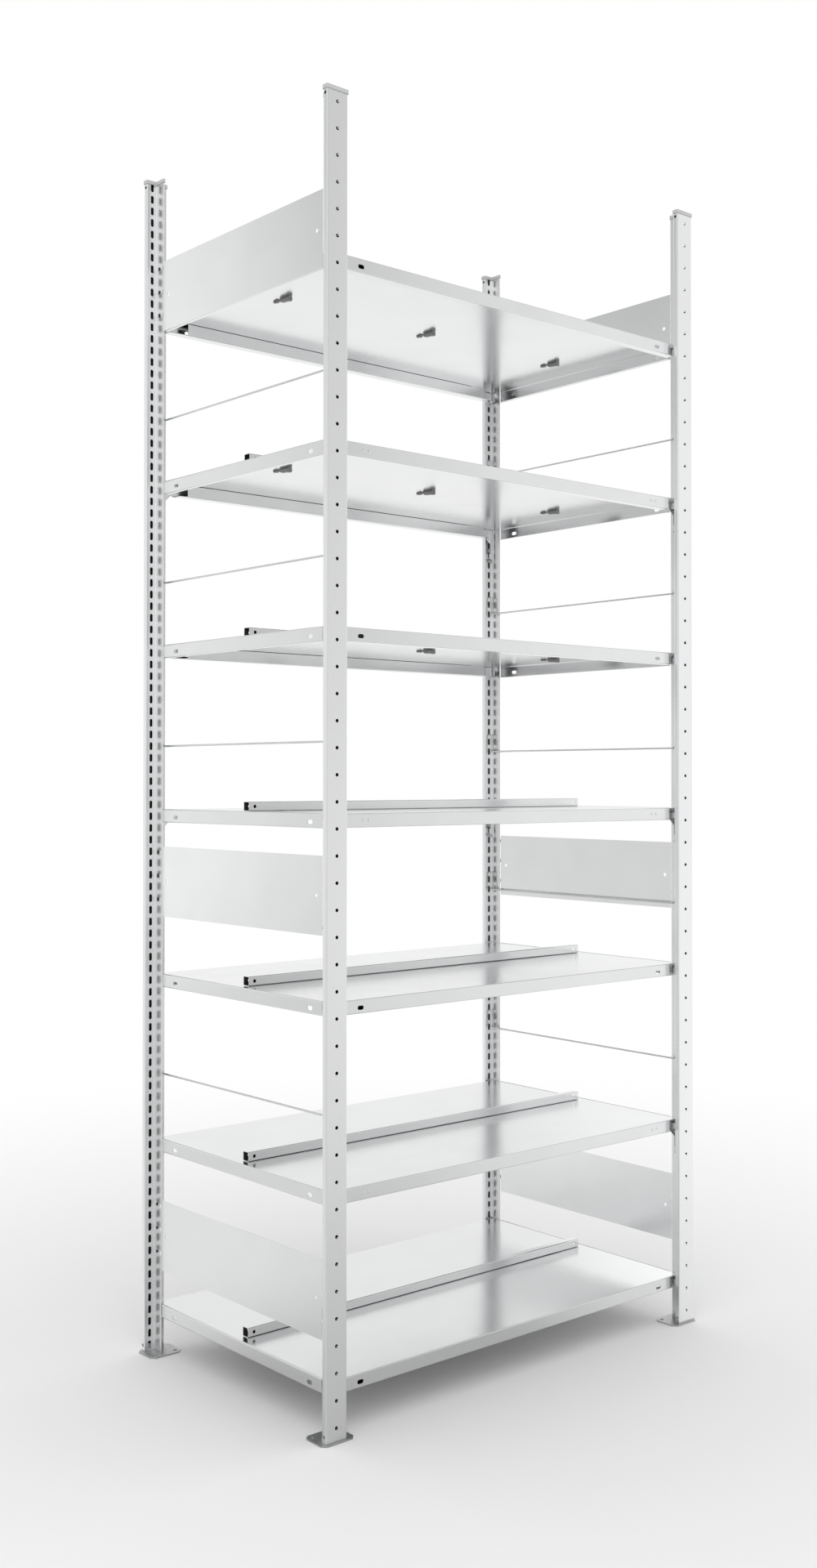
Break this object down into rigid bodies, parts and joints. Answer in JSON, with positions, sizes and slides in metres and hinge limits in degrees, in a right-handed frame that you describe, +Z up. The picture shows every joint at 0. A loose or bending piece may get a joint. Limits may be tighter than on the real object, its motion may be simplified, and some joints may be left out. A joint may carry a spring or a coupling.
{
  "type": "office shelving unit",
  "caption": "Free-standing boltless steel shelving bay: slotted T posts on foot plates, hooked-in folded shelves with centre stop rails, side panels and side wires.",
  "frame": {"origin": "centre of the bay on the floor", "axes": "+X along the bay to the right, +Y from the front to the rear, +Z up"},
  "size_m": [1.064, 0.651, 2.5063],
  "materials": {
    "galvanised_steel": "bright smooth galvanised sheet, semi-gloss",
    "steel_wire": "bright zinc plated wire",
    "cap_plastic": "light grey moulded plastic"
  },
  "bodies": {
    "root": {"bracket_2_front_left": "galvanised_steel", "bracket_2_front_right": "galvanised_steel", "bracket_2_rear_left": "galvanised_steel", "bracket_2_rear_right": "galvanised_steel", "bracket_4_front_left": "galvanised_steel", "bracket_4_front_right": "galvanised_steel", "bracket_4_rear_left": "galvanised_steel", "bracket_4_rear_right": "galvanised_steel", "bracket_6_front_left": "galvanised_steel", "bracket_6_front_right": "galvanised_steel", "bracket_6_rear_left": "galvanised_steel", "bracket_6_rear_right": "galvanised_steel", "foot_plate_front_left": "galvanised_steel", "foot_plate_front_right": "galvanised_steel", "foot_plate_rear_left": "galvanised_steel", "foot_plate_rear_right": "galvanised_steel", "post_cap_front_left": "cap_plastic", "post_cap_front_right": "cap_plastic", "post_cap_rear_left": "cap_plastic", "post_cap_rear_right": "cap_plastic", "post_front_left": "galvanised_steel", "post_front_right": "galvanised_steel", "post_rear_left": "galvanised_steel", "post_rear_right": "galvanised_steel", "shelf_1": "galvanised_steel", "shelf_2": "galvanised_steel", "shelf_3": "galvanised_steel", "shelf_4": "galvanised_steel", "shelf_5": "galvanised_steel", "shelf_6": "galvanised_steel", "shelf_7": "galvanised_steel", "side_panel_left_low": "galvanised_steel", "side_panel_left_middle": "galvanised_steel", "side_panel_left_top": "galvanised_steel", "side_panel_right_low": "galvanised_steel", "side_panel_right_middle": "galvanised_steel", "side_panel_right_top": "galvanised_steel", "side_wire_left_1": "steel_wire", "side_wire_left_2": "steel_wire", "side_wire_left_3": "steel_wire", "side_wire_left_4": "steel_wire", "side_wire_left_5": "steel_wire", "side_wire_left_6": "steel_wire", "side_wire_right_1": "steel_wire", "side_wire_right_2": "steel_wire", "side_wire_right_3": "steel_wire", "side_wire_right_4": "steel_wire", "side_wire_right_5": "steel_wire", "side_wire_right_6": "steel_wire", "stop_rail_1": "galvanised_steel", "stop_rail_2": "galvanised_steel", "stop_rail_3": "galvanised_steel", "stop_rail_4": "galvanised_steel", "stop_rail_5": "galvanised_steel", "stop_rail_6": "galvanised_steel", "stop_rail_7": "galvanised_steel"}
  },
  "joints": []
}
